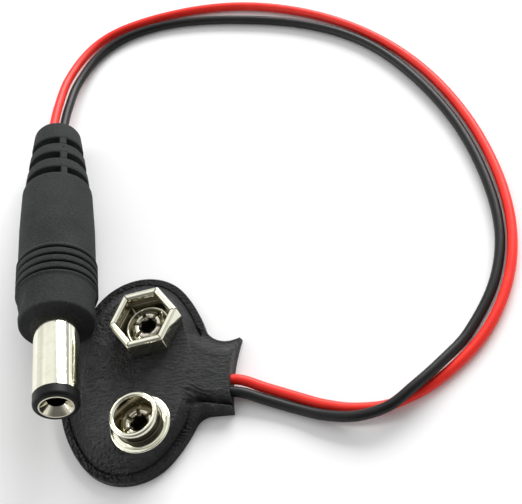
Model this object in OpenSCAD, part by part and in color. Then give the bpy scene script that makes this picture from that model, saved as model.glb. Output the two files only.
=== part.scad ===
// Battery snap with a pair of leads and a barrel plug, lying on a flat surface.
// Millimetres, +Z up. The two terminals stand on the Y axis and the leads leave the tab along +X.

/* [Cover] */
// Length of the cover along the row of terminals
cover_len = 27.3; // [26.8:0.1:30]
// Width of the cover across the row of terminals
cover_w = 18.8; // [18.2:0.1:21]
// Radius of the cover's two round ends
cover_end_r = 7.05; // [6.8:0.05:7.6]
// How far the middle of the cover lies behind the row of terminals
cover_back = 2.15; // [1.9:0.05:2.4]
// How far the middle of the cover lies towards the socket
cover_shift = 1.2; // [0.8:0.05:1.4]
// Thickness of one sheet of the covering
sheet_t = 0.5; // [0.4:0.05:0.7]
// Width of the flat welded rim
rim_w = 1.05; // [0.8:0.05:1.15]
// Width of the weld line pressed along the inner edge of the rim
weld_w = 0.2; // [0.15:0.05:0.3]
// Depth of the weld line
weld_depth = 0.15; // [0.05:0.05:0.25]

/* [Tab] */
// Distance from the row of terminals to the middle of the tab's end edge
tab_mid = 10.05; // [9.8:0.05:12]
// Width of the tab at its waist
tab_waist_w = 9.3; // [8.8:0.1:10]
// Radius of the scoop on the socket's side of the tab
tab_scoop_r = 3.1; // [2.6:0.1:3.4]
// Radius of the scoop on the stud's side of the tab, which runs on as a straight edge
tab_low_r = 2; // [1.4:0.1:2.6]
// Radius of the hollow in the end edge of the tab
tab_hollow_r = 25; // [16:1:60]
// Slant of the end edge of the tab
tab_slant = 3.1; // [0:0.1:5]
// Distance between the two leads in the mouth of the tab
mouth_pitch = 1.6; // [1.4:0.05:2]
// Middle of the mouth, measured from the middle of the tab
mouth_y = -1.5; // [-1.9:0.05:-0.8]
// Width of the tunnel over the leads where it leaves the pocket
tunnel_root_w = 10.6; // [10.4:0.1:11.2]
// Radius of the rounded shoulders of the tunnel
tunnel_round = 0.9; // [0.7:0.05:1]

/* [Backing plate] */
// Length of the plate that carries the terminals
plate_len = 21.2; // [20.6:0.1:22]
// Width of the plate
plate_w = 12.8; // [12.4:0.1:13]
// Radius of the plate's two round ends
plate_end_r = 5.6; // [5.2:0.1:6]
// How far the middle of the plate lies behind the row of terminals
plate_back = 1.35; // [1.3:0.05:1.5]
// How far the middle of the plate lies towards the socket
plate_shift = 0.6; // [0.3:0.05:0.9]
// Thickness of the plate
plate_t = 0.8; // [0.5:0.05:1.2]
// Room between the edge of the plate and the sheet over it
plate_room = 0.15; // [0.1:0.05:0.3]

/* [Terminals] */
// Distance between the two terminals
terminal_pitch = 12.7; // [12.4:0.1:13]
// Thickness of the terminals' sheet metal
contact_t = 0.3; // [0.2:0.05:0.35]
// Width of the socket across its flats, outside
socket_flats = 7.5; // [7:0.1:8]
// Height of the socket above the cover
socket_h = 2.8; // [2.2:0.1:3.4]
// Radius of the rolled edge of each leaf of the socket
socket_roll_r = 0.45; // [0.38:0.01:0.5]
// How far the rolled edge reaches down on the inside
socket_curl = 0.35; // [0.1:0.05:0.8]
// Width of the slits between the leaves
slit_w = 0.14; // [0.1:0.02:0.3]
// Height at which the slits begin
slit_from = 0.8; // [0.5:0.1:1.4]
// Turn of the socket's corners from the X axis
socket_turn = 8.5; // [0:0.5:60]
// Outer radius of the stud's rolled bead
stud_head_r = 2.85; // [2.75:0.01:2.95]
// Radius of the bead's own section
stud_bead_r = 0.32; // [0.25:0.01:0.36]
// Height of the stud above the cover
stud_h = 2.85; // [2.3:0.05:3.4]
// Radius of the stud's foot
stud_foot_r = 3.6; // [3.4:0.05:3.75]
// Radius of the raised step on the foot
stud_step_r = 3.2; // [3.1:0.05:3.3]
// Height of the raised step
stud_step_h = 0.25; // [0.15:0.05:0.4]
// Radius of the hollow between the step and the neck
stud_flare_r = 0.5; // [0.3:0.05:0.55]

/* [Eyelets] */
// Outer radius of the eyelets' tubes
eyelet_r = 1.2; // [1:0.05:1.4]
// Wall of the eyelets' tubes
eyelet_wall = 0.25; // [0.2:0.05:0.35]
// Radius of the heads under the plate
eyelet_head_r = 1.9; // [1.7:0.05:2.2]
// Thickness of the heads
eyelet_head_t = 0.25; // [0.2:0.05:0.35]
// Reach of the splayed petals from the eyelet's axis
petal_r = 1.95; // [1.7:0.05:2.05]
// Thickness of the petals
petal_t = 0.2; // [0.15:0.05:0.3]
// Height of the petals' crown over their tips
petal_rise = 0.25; // [0.1:0.05:0.5]
// Number of petals
petal_count = 6; // [5:1:8]
// Width of the gaps between the petals
petal_gap = 0.45; // [0.3:0.05:0.6]

/* [Leads] */
// Diameter of each lead over its insulation
lead_d = 1.25; // [1.15:0.05:1.3]
// Diameter of the bared strands
strand_d = 0.6; // [0.4:0.05:0.7]
// Distance from each terminal's axis to the end of the insulation
snap_tail = 3.2; // [2.8:0.1:3.6]
// Depth to which the strands reach under the terminals
snap_tail_end = 0.5; // [0.3:0.1:0.9]
// Room round each lead where it is held
lead_room = 0.05; // [0.03:0.01:0.1]
// Room between the solder and the lower sheet
solder_room = 0.1; // [0.05:0.05:0.2]
// Radius of the solder joints at the terminals
snap_solder_r = 1.6; // [1.4:0.05:1.8]

/* [Plug grip] */
// Length of the moulded grip with its strain relief
grip_len = 34; // [33:0.5:38]
// Radius of the strain relief at its end
tail_r = 3.2; // [2.9:0.05:3.4]
// Rounding of the end of the strain relief
tail_round = 1; // [0.5:0.1:1.3]
// Radius of the strain relief where it meets the grip
relief_r = 4.3; // [4:0.05:4.5]
// Distance from the front face to the rear shoulder of the grip
shoulder_from = 21.8; // [20.8:0.1:23]
// Length of the shoulder's slope
shoulder_len = 1; // [0.6:0.1:1.4]
// Radius of the grip at its rear shoulder
shoulder_r = 4.57; // [4.5:0.01:4.7]
// Radius of the middle of the grip
grip_r = 4.8; // [4.7:0.05:4.9]
// Distance from the front face to the fullest part of the grip
grip_from = 15.4; // [13:0.1:18]
// Radius of the grip rings
ring_r = 5.02; // [4.95:0.01:5.2]
// Number of grooves between and beside the rings
groove_count = 4; // [3:1:5]
// Distance from one groove to the next
groove_pitch = 1.2; // [1:0.05:1.4]
// Distance from the front face to the first groove
groove_from = 5; // [4.6:0.1:6]
// Radius of each groove's round section
groove_r = 0.24; // [0.15:0.01:0.3]
// Radius of the grip just in front of the rings
front_r = 4.85; // [4.75:0.01:4.95]
// Radius of the front face's edge
face_r = 4.56; // [4.3:0.01:4.7]
// Rounding of the front face's edge
face_round = 0.35; // [0.2:0.05:0.6]
// Depth of the thumb hollows beside the front face
thumb_depth = 0.35; // [0.2:0.05:0.5]
// Radius of the thumb hollows along the plug
thumb_r = 3; // [2.6:0.1:3.4]
// Distance from the front face to the middle of the thumb hollows
thumb_from = 2.5; // [2.2:0.1:2.7]

/* [Strain relief] */
// Number of slot rows
slot_rows = 3; // [2:1:3]
// Distance from one slot row to the next
slot_pitch = 3.25; // [2.6:0.05:3.4]
// Width of the slots along the plug
slot_w = 1.3; // [0.8:0.05:1.6]
// Distance from the front face to the first slot row
slot_from = 22.95; // [22.7:0.05:24]
// Width of the webs that bridge the slots
web_w = 1; // [0.8:0.05:1.6]
// Radius of the core under the slots
core_r = 2.3; // [2.1:0.05:2.5]
// Distance between the two leads in the strain relief
relief_pitch = 1.4; // [1.36:0.02:1.6]

/* [Plug contacts] */
// Diameter of the barrel
barrel_d = 5.5; // [5.3:0.05:5.7]
// Bare length of the barrel
barrel_len = 10.2; // [8.5:0.1:11]
// Wall of the barrel
barrel_wall = 0.3; // [0.2:0.05:0.4]
// Radius of the barrel's shoulder inside the grip
barrel_seat_r = 2.95; // [2.9:0.05:3.1]
// Depth of the barrel's shoulder inside the grip
barrel_seat = 4.2; // [3.6:0.1:5]
// How far the barrel's shoulder stands out of the front face
barrel_step = 0.15; // [0.1:0.05:0.3]
// Radius of the barrel's collar inside the grip
collar_r = 3.4; // [3.3:0.05:3.5]
// Thickness of the collar
collar_t = 0.5; // [0.3:0.05:0.7]
// Diameter of the bore in the centre contact
bore_d = 2.1; // [2:0.05:2.5]
// Depth of the straight bore
bore_depth = 10.2; // [8:0.1:11]
// Wall of the centre contact
centre_wall = 0.35; // [0.25:0.05:0.4]
// Radius of the centre contact's bell mouth
bell_r = 2.05; // [1.9:0.05:2.15]
// Depth of the bell mouth
bell_depth = 0.85; // [0.6:0.05:1]
// Length of the black nose in front of the barrel
nose_len = 1.4; // [1.2:0.05:1.8]
// Rounding of the nose
nose_round = 0.45; // [0.3:0.05:0.5]
// How far the insulating sleeve stands out behind the barrel
sleeve_tail = 0.8; // [0.4:0.1:1.2]
// Gap between pieces that are pressed or moulded together
fit_gap = 0.03; // [0.02:0.01:0.06]

/* [Plug wiring] */
// Length of the hollow round the wiring inside the grip
chamber_len = 8.6; // [8.4:0.1:9]
// Width of the solder tags
tag_w = 1.2; // [0.9:0.05:1.3]
// Thickness of the solder tags
tag_t = 0.35; // [0.25:0.05:0.4]
// Length of the centre contact's tag
centre_tag = 3.6; // [3:0.1:3.8]
// Length of the barrel's tag
barrel_tag = 6.6; // [6:0.1:7]
// Radius of the solder joints inside the plug
plug_solder_r = 0.62; // [0.55:0.01:0.66]

/* [Layout] */
// Place of the plug's front face along X
plug_x = -10.3; // [-14:0.1:-10.3]
// Place of the plug's front face along Y
plug_y = 5.6; // [4:0.1:9]
// Direction in which the plug points, from +X
plug_heading = -80.2; // [-90:0.1:-76]
// Rise of the plug towards its tip
plug_tilt = 6; // [5.8:0.1:7]
// Turn of the plug about its own axis
plug_roll = 56; // [40:1:70]

/* [Hidden] */
$fn = 64;
soft_fn = 32;
through = 0.5;
lap = 0.1;
slice_t = 0.02;

// Colours as the photograph shows them
leatherette = "#37393b";
grip_black = "#3c3e3e";
nose_black = "#1d1e1f";
fibre = "#6b4a2f";
nickel = "#d9d6cc";
eyelet_nickel = "#c9c6b8";
tin = "#b4b6b8";
copper = "#b9744a";
lead_red = "#e2281f";
lead_black = "#262626";

// Large radius of an oval drawn from four centres
function side_radius(length, width, end_r) =
    (pow(end_r, 2) - pow(length / 2 - end_r, 2) - pow(width / 2, 2)) / (2 * end_r - width);
cover_side_r = side_radius(cover_len, cover_w, cover_end_r);
cover_side_x = cover_side_r - cover_w / 2;

// Heights in the head, from the surface up
rim_top = 2 * sheet_t;
lead_z = sheet_t + lead_room + lead_d / 2;
plate_z = sheet_t + lead_d + 2 * lead_room;
cover_top = plate_z + plate_t + sheet_t;
floor_top = cover_top + contact_t;
ceiling = cover_top - sheet_t;
solder_low = sheet_t + solder_room;
solder_high = plate_z - eyelet_head_t;

// Tab and tunnel: each scoop runs smoothly out of the cover's long side
tab_tips = 1;
tab_reach = tab_mid + tab_tips;
function scoop_r(s) = s > 0 ? tab_scoop_r : tab_low_r;
function scoop_at(s) =
    let (y = s * (tab_waist_w / 2 + scoop_r(s)))
    [sqrt(pow(cover_side_r + scoop_r(s), 2) - pow(y - cover_shift, 2)) - cover_side_x - cover_back, y];
function scoop_root(s) =
    cover_shift + (scoop_at(s)[1] - cover_shift) * cover_side_r / (cover_side_r + scoop_r(s));
low_edge = -tab_waist_w / 2;
hollow_at = [tab_mid + tab_hollow_r * cos(tab_slant), -tab_hollow_r * sin(tab_slant)];
mouth_w = mouth_pitch + lead_d + 4 * lead_room;
mouth_h = lead_d + 2 * lead_room;
tunnel_root_x = terminal_pitch / 4;
pocket_x = cover_w / 2 - cover_back - sheet_t;

// Socket, stud and eyelets
socket_apothem = socket_flats / 2;
roll_z = socket_h - socket_roll_r;
hole_r = eyelet_r + fit_gap;
stud_in_r = stud_head_r - 2 * stud_bead_r;
stud_neck_r = stud_in_r + contact_t;
bead_z = stud_h - stud_bead_r;
step_top = contact_t + stud_step_h;

// Plug sections, along its own axis from the front face, positive towards the tip
lead_hole_r = lead_d / 2 + lead_room;
barrel_r = barrel_d / 2;
sleeve_r = barrel_r - barrel_wall - fit_gap;
bore_r = bore_d / 2;
centre_r = bore_r + centre_wall;
tip_z = barrel_len + nose_len;
bore_end = tip_z - bell_depth - bore_depth;
seat_z = -barrel_seat;
collar_z = seat_z - collar_t;
sleeve_z = collar_z - sleeve_tail;
centre_z = sleeve_z - collar_t;
chamber_z = collar_z - chamber_len;
ring_top = -groove_from + groove_pitch / 2;
ring_low = -groove_from - (groove_count - 0.5) * groove_pitch;
tag_y = strand_d / 2 + tag_t + fit_gap;
barrel_tag_y = barrel_seat_r - tag_t;
centre_joint_z = centre_z - centre_tag / 2;
barrel_joint_z = collar_z - barrel_tag + 2 * plug_solder_r;
chamber_r = collar_r + fit_gap;

// Height of the front face with the grip's lowest edge on the surface
grip_edges = [[tail_r, tail_round - grip_len], [shoulder_r, -shoulder_from], [grip_r, -grip_from],
    [ring_r, ring_low], [ring_r, ring_top]];
plug_z = max([for (e = grip_edges) e[0] * cos(plug_tilt) - e[1] * sin(plug_tilt)]);

// Point of the plug's own frame in the part's frame
function plug_pt(p) =
    let (x = p[0] * cos(plug_roll) - p[1] * sin(plug_roll))
    let (y = p[0] * sin(plug_roll) + p[1] * cos(plug_roll))
    let (along = x * sin(plug_tilt) + p[2] * cos(plug_tilt))
    let (rise = p[2] * sin(plug_tilt) - x * cos(plug_tilt))
    [plug_x + along * cos(plug_heading) - y * sin(plug_heading),
     plug_y + along * sin(plug_heading) + y * cos(plug_heading), plug_z + rise];

// Place where the insulation ends near a terminal, side 1 for the socket and -1 for the stud
tail_turn = 35;
function tail_pt(side, reach) =
    [reach * cos(tail_turn), side * (terminal_pitch / 2 - reach * sin(tail_turn)), lead_z];

// Routes of the free leads: X, Y and lift above the surface
red_route = [[-16.9, 45, 2.4], [-16.5, 51.8, 1.1], [-13.8, 58.2, 0.15], [-9.2, 61.3, 0], [-0.4, 62.8, 0],
    [8.8, 62.1, 0], [17.9, 58.9, 0], [26.1, 53.7, 0], [33, 46.7, 0], [38.3, 38.3, 0], [42, 28.7, 0],
    [43.7, 18.9, 0], [42.9, 10.4, 0], [39.6, 3, 0], [34.1, -2.5, 0], [28.6, -5.2, 0], [24.3, -5.4, 0],
    [20.7, -4.6, 0], [17.2, -3.2, 0], [14, -1.9, 0.1]];
black_route = [[-15.7, 45, 1.6], [-15.1, 50.9, 0.7], [-12.4, 56.7, 0.1], [-7.8, 59.8, 0], [-0.3, 60.7, 0],
    [9.9, 59, 0], [19.1, 55.9, 0], [26.6, 51.2, 0], [32.5, 44.6, 0], [37.7, 35.7, 0], [40.9, 26.6, 0],
    [42.3, 17.2, 0], [41.1, 9.6, 0], [37.5, 2.7, 0.2], [34.2, -1.1, 0.9], [31, -4.1, 1.4],
    [28.2, -6.1, 1.3], [24.6, -6.8, 0.9], [20.8, -6.1, 0.4], [17.4, -4.8, 0.1], [14.1, -3.5, 0.2]];

// Whole route of a lead, from inside the plug to the end of its insulation at the terminal
function lead_pts(side, free) = concat(
    [for (z = [chamber_z, -grip_len, -grip_len - lead_d]) plug_pt([-side * relief_pitch / 2, 0, z])],
    [for (p = free) [p[0], p[1], p[2] + lead_d / 2]],
    [for (x = [tab_mid + lead_d / 2, pocket_x]) [x, mouth_y + side * mouth_pitch / 2, lead_z]],
    [for (reach = [snap_tail + lead_d, snap_tail]) tail_pt(side, reach)]);

// Smooth route with one more point halfway along each long span
long_span = 5.8;
function halfway(a, b, c, d) = (9 * (b + c) - a - d) / 16;
function lifted(p) = [p[0], p[1], max(p[2], lead_d / 2)];
function smooth(p) = [for (i = [0 : len(p) - 2]) for (k = [0, 1])
    if (k == 0 || (i > 1 && i < len(p) - 2 && norm(p[i + 1] - p[i]) > long_span))
        k == 0 ? p[i] : lifted(halfway(p[i - 1], p[i], p[i + 1], p[i + 2])),
    p[len(p) - 1]];
function unit(v) = v / norm(v);
function ring_pts(p, i, r, sides) =
    let (along = unit(p[min(i + 1, len(p) - 1)] - p[max(i - 1, 0)]))
    let (across = unit(cross(along, [0, 0, 1])))
    let (up = cross(across, along))
    [for (k = [0 : sides - 1]) p[i] + r * (cos(360 * k / sides) * across + sin(360 * k / sides) * up)];

// Round tube swept along a list of points
module tube(p, d, sides = 8) {
    n = len(p);
    ends = [[for (k = [0 : sides - 1]) k], [for (k = [sides - 1 : -1 : 0]) (n - 1) * sides + k]];
    walls = [for (i = [0 : n - 2]) for (k = [0 : sides - 1])
        let (a = i * sides + k)
        let (b = i * sides + (k + 1) % sides)
        each [[a, a + sides, b + sides], [a, b + sides, b]]];
    polyhedron([for (i = [0 : n - 1]) each ring_pts(p, i, d / 2, sides)], concat(ends, walls));
}

// Straight rod between two points
module rod(a, b, d) {
    v = b - a;
    translate(a)
        rotate([0, acos(v[2] / norm(v)), atan2(v[1], v[0])])
            cylinder(h = norm(v), d = d);
}

// Oval of four arcs, drawn out by a given distance
module oval(length, width, end_r, grow) {
    end_y = length / 2 - end_r;
    side_r = side_radius(length, width, end_r);
    intersection() {
        intersection_for (s = [-1, 1])
            translate([s * (side_r - width / 2), 0]) circle(side_r + grow);
        square([2 * width, 2 * (side_r + grow) * end_y / (side_r - end_r)], center = true);
    }
    for (s = [-1, 1])
        translate([0, s * end_y]) circle(end_r + grow);
}

// Outline of the cover without its tab, drawn in by a given distance
module cover_outline(inset = 0) {
    translate([-cover_back, cover_shift]) oval(cover_len, cover_w, cover_end_r, -inset);
}

module plate_outline(grow = 0) {
    translate([-plate_back, plate_shift]) oval(plate_len, plate_w, plate_end_r, grow);
}

// Fishtail tab
module tab_outline() {
    difference() {
        translate([0, scoop_root(-1)]) square([tab_reach, scoop_root(1) - scoop_root(-1)]);
        for (s = [-1, 1])
            translate(scoop_at(s)) circle(scoop_r(s));
        translate([scoop_at(-1)[0], scoop_root(-1) - through])
            square([tab_reach, low_edge - scoop_root(-1) + through]);
        translate(hollow_at) circle(tab_hollow_r, $fn = 4 * $fn);
    }
}

module sheet_outline() {
    cover_outline();
    tab_outline();
}

// Sheet drawn over the plate from the weld line, its wall drawn in and its upper edge rounded as given
module pillow(inset, low, high, edge) {
    hull() {
        translate([0, 0, low]) linear_extrude(slice_t) cover_outline(rim_w + inset, $fn = soft_fn);
        translate([0, 0, high - edge / 2 - slice_t])
            linear_extrude(slice_t) plate_outline(plate_room + sheet_t - inset, $fn = soft_fn);
        translate([0, 0, high - slice_t])
            linear_extrude(slice_t) plate_outline(plate_room + sheet_t - inset - edge, $fn = soft_fn);
    }
}

// Hump of the tab over the two leads, with its wall drawn in by a given distance
module tunnel(inset, low) {
    round_r = tunnel_round - inset;
    root = [tunnel_root_x, 0, tunnel_root_w / 2 - inset, ceiling + sheet_t - inset - lap / 2];
    mouth = [tab_reach + through, mouth_y, mouth_w / 2 + sheet_t - inset, mouth_h + 2 * sheet_t - inset];
    hull()
        for (p = [root, mouth])
            for (s = [-1, 1])
                translate([p[0], p[1] + s * (p[2] - round_r), 0]) {
                    translate([0, -round_r, low]) cube([slice_t, 2 * round_r, slice_t]);
                    translate([0, 0, p[3] - round_r])
                        rotate([0, 90, 0]) cylinder(h = slice_t, r = round_r, $fn = soft_fn);
                }
}

module at_terminal(side) {
    translate([0, side * terminal_pitch / 2, 0]) children();
}

module at_plug() {
    translate([plug_x, plug_y, plug_z])
        rotate([0, 0, plug_heading])
            rotate([0, 90 - plug_tilt, 0])
                rotate([0, 0, plug_roll])
                    children();
}

module top_cover() {
    color(leatherette)
        difference() {
            union() {
                translate([0, 0, sheet_t]) linear_extrude(sheet_t) sheet_outline();
                pillow(0, rim_top - lap, cover_top, sheet_t / 2);
                intersection() {
                    tunnel(0, rim_top - lap);
                    translate([0, 0, sheet_t]) linear_extrude(cover_top) sheet_outline();
                }
            }
            pillow(sheet_t, sheet_t - lap, ceiling, 0);
            tunnel(sheet_t, sheet_t - lap);
            translate([0, 0, rim_top - weld_depth])
                linear_extrude(weld_depth + through)
                    difference() {
                        cover_outline(rim_w - weld_w);
                        cover_outline(rim_w);
                        translate([0, -tab_waist_w / 2]) square([tab_reach, tab_waist_w]);
                    }
            for (s = [-1, 1])
                at_terminal(s) cylinder(h = cover_top + through, r = hole_r);
        }
}

module bottom_cover() {
    color(leatherette)
        linear_extrude(sheet_t) sheet_outline();
}

module backing_plate() {
    color(fibre)
        translate([0, 0, plate_z])
            linear_extrude(plate_t)
                difference() {
                    plate_outline();
                    for (s = [-1, 1])
                        translate([0, s * terminal_pitch / 2]) circle(hole_r);
                }
}

// Section of the socket: floor, leaf, rolled edge and its inner lip
module socket_section() {
    translate([hole_r / 2, 0]) square([socket_apothem - hole_r / 2, contact_t]);
    translate([socket_apothem - contact_t, 0]) square([contact_t, roll_z]);
    translate([socket_apothem - socket_roll_r, roll_z])
        difference() {
            circle(socket_roll_r, $fn = soft_fn);
            circle(socket_roll_r - contact_t, $fn = soft_fn);
            translate([-socket_roll_r, -socket_roll_r]) square([2 * socket_roll_r, socket_roll_r]);
        }
    translate([socket_apothem - 2 * socket_roll_r, roll_z - socket_curl]) square([contact_t, socket_curl]);
}

module socket_contact() {
    color(nickel)
        at_terminal(1)
            translate([0, 0, cover_top])
                rotate(socket_turn)
                    difference() {
                        rotate_extrude($fn = 6) scale([1 / cos(30), 1]) socket_section();
                        for (k = [0 : 5])
                            rotate(60 * k)
                                translate([0, -slit_w / 2, slit_from])
                                    cube([socket_flats, slit_w, socket_h]);
                        translate([0, 0, -through])
                            cylinder(h = contact_t + 2 * through, r = hole_r);
                    }
}

module stud_contact() {
    color(nickel)
        at_terminal(-1)
            translate([0, 0, cover_top])
                rotate_extrude()
                    difference() {
                        union() {
                            square([stud_foot_r, contact_t]);
                            square([stud_step_r, step_top]);
                            square([stud_neck_r, bead_z]);
                            translate([stud_neck_r, step_top])
                                difference() {
                                    square(stud_flare_r);
                                    translate([stud_flare_r, stud_flare_r]) circle(stud_flare_r);
                                }
                            translate([stud_head_r - stud_bead_r, bead_z]) circle(stud_bead_r);
                        }
                        translate([0, contact_t]) square([stud_in_r, stud_h]);
                        translate([0, -through]) square([hole_r, contact_t + 2 * through]);
                    }
}

// Tubular rivet with a flat head below and splayed petals above
module eyelet() {
    in_r = eyelet_r - eyelet_wall;
    difference() {
        rotate_extrude()
            polygon([[in_r, plate_z - eyelet_head_t], [eyelet_head_r, plate_z - eyelet_head_t],
                [eyelet_head_r, plate_z], [eyelet_r, plate_z], [eyelet_r, floor_top],
                [petal_r, floor_top], [petal_r, floor_top + petal_t / 2],
                [eyelet_r, floor_top + petal_t + petal_rise],
                [in_r, floor_top + petal_t + petal_rise / 2]]);
        for (k = [0 : petal_count - 1])
            rotate(360 * (k + 0.5) / petal_count)
                translate([0, -petal_gap / 2, floor_top - fit_gap])
                    cube([petal_r + through, petal_gap, petal_t + petal_rise + through]);
    }
}

module socket_eyelet() {
    color(eyelet_nickel) at_terminal(1) eyelet();
}

module stud_eyelet() {
    color(eyelet_nickel) at_terminal(-1) eyelet();
}

// Bared strands from the end of a lead's insulation to under its terminal
module snap_strands(side) {
    rod(tail_pt(side, snap_tail), tail_pt(side, snap_tail_end), strand_d);
}

// Solder cap under the head of an eyelet
module snap_solder(side) {
    cap_h = solder_high - solder_low;
    ball_r = (pow(snap_solder_r, 2) + pow(cap_h, 2)) / (2 * cap_h);
    difference() {
        intersection() {
            at_terminal(side) translate([0, 0, solder_low + ball_r]) sphere(ball_r);
            at_terminal(side) translate([0, 0, solder_low]) cylinder(h = cap_h, r = snap_solder_r);
        }
        snap_strands(side);
    }
}

module positive_tail() {
    color(copper) snap_strands(1);
}

module negative_tail() {
    color(copper) snap_strands(-1);
}

module positive_solder() {
    color(tin) snap_solder(1);
}

module negative_solder() {
    color(tin) snap_solder(-1);
}

module red_lead() {
    color(lead_red) tube(smooth(lead_pts(1, red_route)), lead_d);
}

module black_lead() {
    color(lead_black) tube(smooth(lead_pts(-1, black_route)), lead_d);
}

// Outer section of the grip, from the end of the strain relief to the front face
module grip_section() {
    polygon(concat(
        [[0, -grip_len]],
        [for (a = [-90 : 15 : 0]) [tail_r - tail_round + tail_round * cos(a),
            tail_round - grip_len + tail_round * sin(a)]],
        [[relief_r, -shoulder_from - shoulder_len], [shoulder_r, -shoulder_from], [grip_r, -grip_from],
         [grip_r, ring_low], [ring_r, ring_low], [ring_r, ring_top], [front_r, ring_top]],
        [for (a = [0 : 15 : 90]) [face_r - face_round + face_round * cos(a),
            -face_round + face_round * sin(a)]],
        [[0, 0]]));
}

module plug_body() {
    color(grip_black)
        at_plug()
            difference() {
                rotate_extrude() grip_section();
                for (k = [0 : groove_count - 1])
                    translate([0, 0, -groove_from - k * groove_pitch])
                        rotate_extrude() translate([ring_r, 0]) circle(groove_r, $fn = 24);
                for (k = [0 : slot_rows - 1])
                    translate([0, 0, -slot_from - k * slot_pitch])
                        difference() {
                            cylinder(h = slot_w, r = ring_r, center = true);
                            cylinder(h = slot_w + through, r = core_r, center = true);
                            cube([web_w, 2 * ring_r, slot_w + through], center = true);
                        }
                for (s = [-1, 1])
                    translate([s * (face_r - thumb_depth + thumb_r), 0, -thumb_from])
                        rotate([90, 0, 0]) cylinder(h = 2 * ring_r, r = thumb_r, center = true);
                translate([0, 0, chamber_z])
                    cylinder(h = seat_z - chamber_z + fit_gap, r = chamber_r);
                translate([0, 0, seat_z])
                    cylinder(h = barrel_seat + through, r = barrel_seat_r + fit_gap);
                for (s = [-1, 1])
                    translate([s * relief_pitch / 2, 0, -grip_len - through])
                        cylinder(h = grip_len + chamber_z + 2 * through, r = lead_hole_r);
            }
}

// Flat strip behind a contact, with its upper face at a given height
module tag(x, y, from, length) {
    translate([x - tag_w / 2, y, from - length]) cube([tag_w, tag_t, length]);
}

module barrel() {
    color(nickel)
        at_plug()
            difference() {
                union() {
                    translate([0, 0, seat_z]) cylinder(h = barrel_seat + barrel_len, r = barrel_r);
                    translate([0, 0, seat_z]) cylinder(h = barrel_seat + barrel_step, r = barrel_seat_r);
                    translate([0, 0, collar_z]) cylinder(h = collar_t, r = collar_r);
                    tag(relief_pitch / 2, -barrel_tag_y - tag_t, seat_z - collar_t / 2,
                        barrel_tag + collar_t / 2);
                }
                translate([0, 0, collar_z - through])
                    cylinder(h = barrel_len - collar_z + 2 * through, r = barrel_r - barrel_wall);
            }
}

module tip_insulator() {
    lip = bell_r + fit_gap;
    color(nose_black)
        at_plug()
            rotate_extrude()
                polygon(concat(
                    [[centre_r + fit_gap, sleeve_z], [sleeve_r, sleeve_z], [sleeve_r, barrel_len],
                     [barrel_r - fit_gap, barrel_len]],
                    [for (a = [0 : 15 : 90]) [barrel_r - fit_gap - nose_round + nose_round * cos(a),
                        tip_z - nose_round + nose_round * sin(a)]],
                    [[lip, tip_z], [lip, tip_z - centre_wall],
                     [centre_r + fit_gap, tip_z - centre_wall - bell_depth]]));
}

module centre_contact() {
    bell_low = tip_z - bell_depth;
    color(nickel)
        at_plug() {
            rotate_extrude()
                polygon([[0, centre_z], [centre_r, centre_z], [centre_r, tip_z - centre_wall - bell_depth],
                    [bell_r, tip_z - centre_wall], [bell_r, tip_z], [bell_r - centre_wall / 2, tip_z],
                    [bore_r, bell_low], [bore_r, bore_end], [0, bore_end]]);
            tag(-relief_pitch / 2, -tag_y, centre_z + tag_t, centre_tag + tag_t);
        }
}

// Bared strands inside the plug, each from the end of its lead's insulation to its solder tag
module centre_strands() {
    at_plug()
        translate([-relief_pitch / 2, 0, chamber_z])
            cylinder(h = centre_joint_z + plug_solder_r / 2 - chamber_z, d = strand_d);
}

module barrel_strands() {
    foot = [relief_pitch / 2, 0, chamber_z];
    joint = [relief_pitch / 2, strand_d / 2 - barrel_tag_y, barrel_joint_z];
    slant = acos((joint[2] - foot[2]) / norm(joint - foot));
    at_plug()
        rod(foot + unit(joint - foot) * tan(slant) * strand_d / 2, joint, strand_d);
}

module centre_tail() {
    color(copper) centre_strands();
}

module barrel_tail() {
    color(copper) barrel_strands();
}

module centre_solder() {
    color(tin)
        difference() {
            at_plug() translate([-relief_pitch / 2, 0, centre_joint_z]) sphere(plug_solder_r);
            centre_strands();
            at_plug() tag(-relief_pitch / 2, -tag_y, centre_z + tag_t, centre_tag + tag_t);
        }
}

module barrel_solder() {
    color(tin)
        difference() {
            at_plug()
                translate([relief_pitch / 2, strand_d / 2 - barrel_tag_y, barrel_joint_z])
                    sphere(plug_solder_r);
            barrel_strands();
            at_plug()
                tag(relief_pitch / 2, -barrel_tag_y - tag_t, collar_z, barrel_tag);
        }
}

top_cover();
bottom_cover();
backing_plate();
socket_contact();
stud_contact();
socket_eyelet();
stud_eyelet();
positive_tail();
negative_tail();
positive_solder();
negative_solder();
red_lead();
black_lead();
plug_body();
barrel();
tip_insulator();
centre_contact();
centre_tail();
barrel_tail();
centre_solder();
barrel_solder();
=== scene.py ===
import math

import bmesh
import bpy
import numpy as np
from mathutils import Matrix, Vector


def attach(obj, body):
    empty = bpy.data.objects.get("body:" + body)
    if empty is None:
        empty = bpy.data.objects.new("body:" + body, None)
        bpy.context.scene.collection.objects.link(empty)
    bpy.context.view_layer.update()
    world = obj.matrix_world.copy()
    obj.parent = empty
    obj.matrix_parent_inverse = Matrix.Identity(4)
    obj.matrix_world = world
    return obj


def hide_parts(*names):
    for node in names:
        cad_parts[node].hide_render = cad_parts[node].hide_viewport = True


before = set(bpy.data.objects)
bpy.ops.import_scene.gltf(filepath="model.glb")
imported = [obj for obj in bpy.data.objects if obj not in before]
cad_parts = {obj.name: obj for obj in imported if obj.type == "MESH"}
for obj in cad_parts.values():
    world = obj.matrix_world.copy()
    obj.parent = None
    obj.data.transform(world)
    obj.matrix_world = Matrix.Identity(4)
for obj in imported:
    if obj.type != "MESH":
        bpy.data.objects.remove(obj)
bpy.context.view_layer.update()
MM = 0.001

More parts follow.
